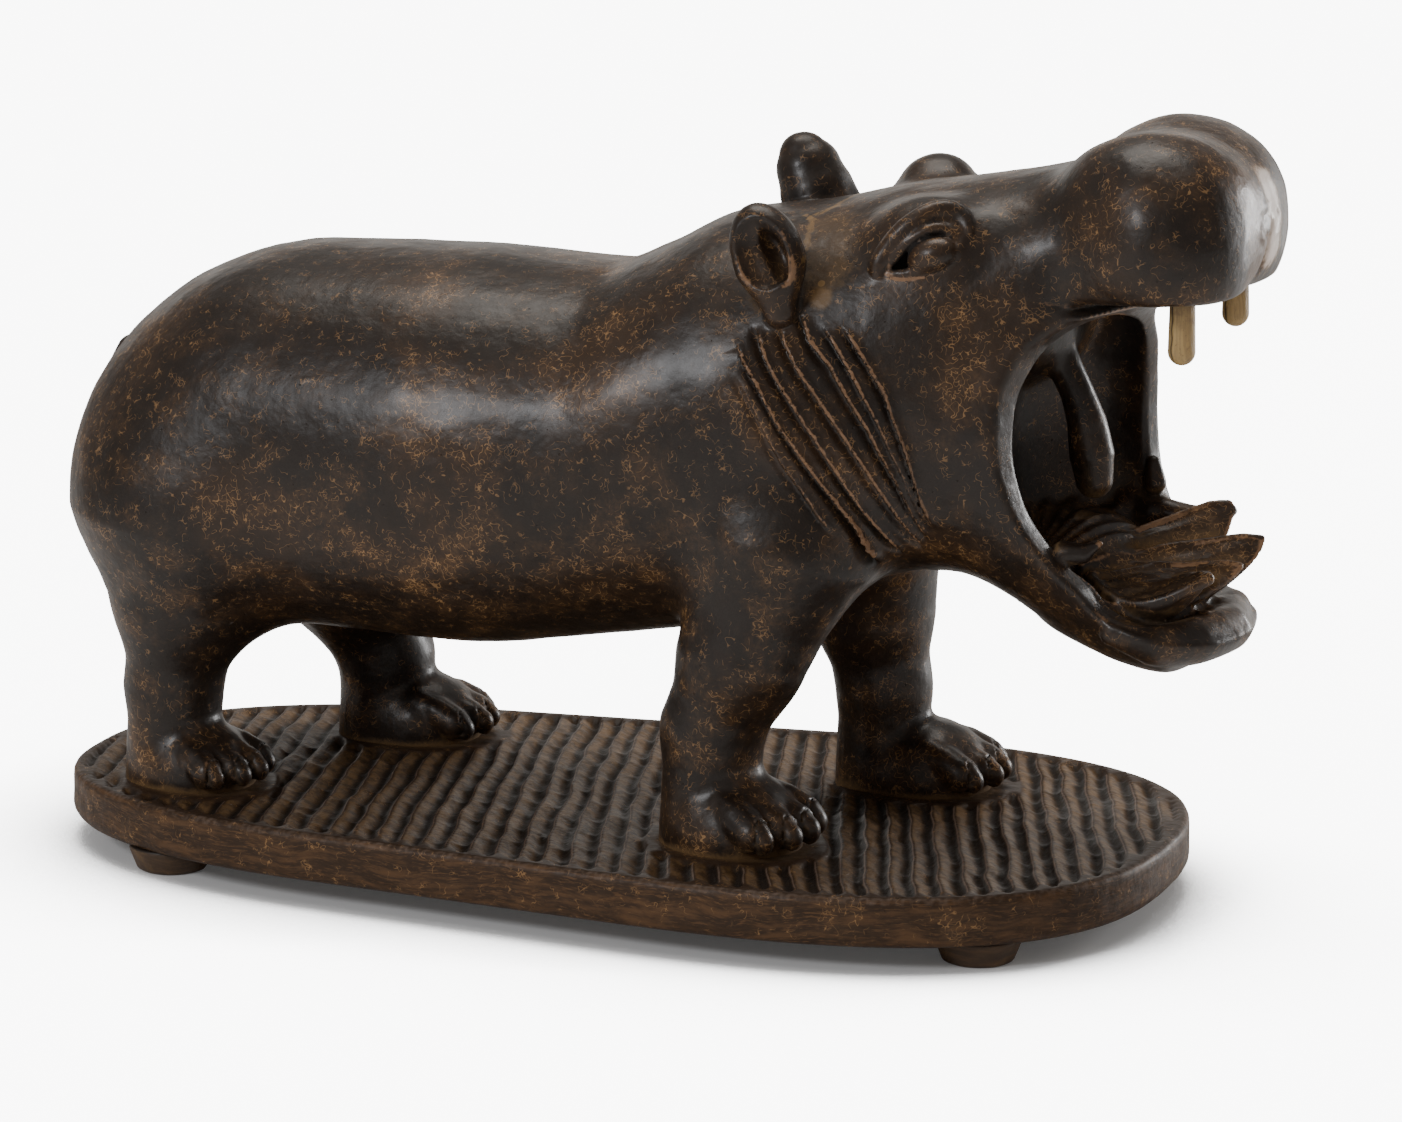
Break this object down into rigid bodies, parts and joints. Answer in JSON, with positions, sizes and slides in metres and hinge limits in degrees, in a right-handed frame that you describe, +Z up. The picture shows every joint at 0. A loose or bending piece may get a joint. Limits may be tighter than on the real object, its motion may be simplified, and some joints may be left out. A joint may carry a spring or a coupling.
{
  "type": "wooden hippopotamus carving",
  "caption": "Dark wood hippopotamus standing open-mouthed, with bone peg teeth, on a long rounded gouge-carved plinth that rests on small round pads.",
  "frame": {"origin": "middle of the footprint, on the floor under the pads", "axes": "+X towards the muzzle, +Y to the animal's left, +Z up"},
  "size_m": [0.5172, 0.2538, 0.326],
  "materials": {
    "dark_wood": "satin, waxed and worn, ochre dust in the hollows",
    "bone": "satin, stained and cracked",
    "pad_wood": "satin, worn"
  },
  "bodies": {
    "root": {"hippo_and_plinth": "dark_wood", "tooth_near": "bone", "tooth_far": "bone", "pad_front_right": "pad_wood", "pad_front_left": "pad_wood", "pad_rear_right": "pad_wood", "pad_rear_left": "pad_wood"}
  },
  "joints": []
}
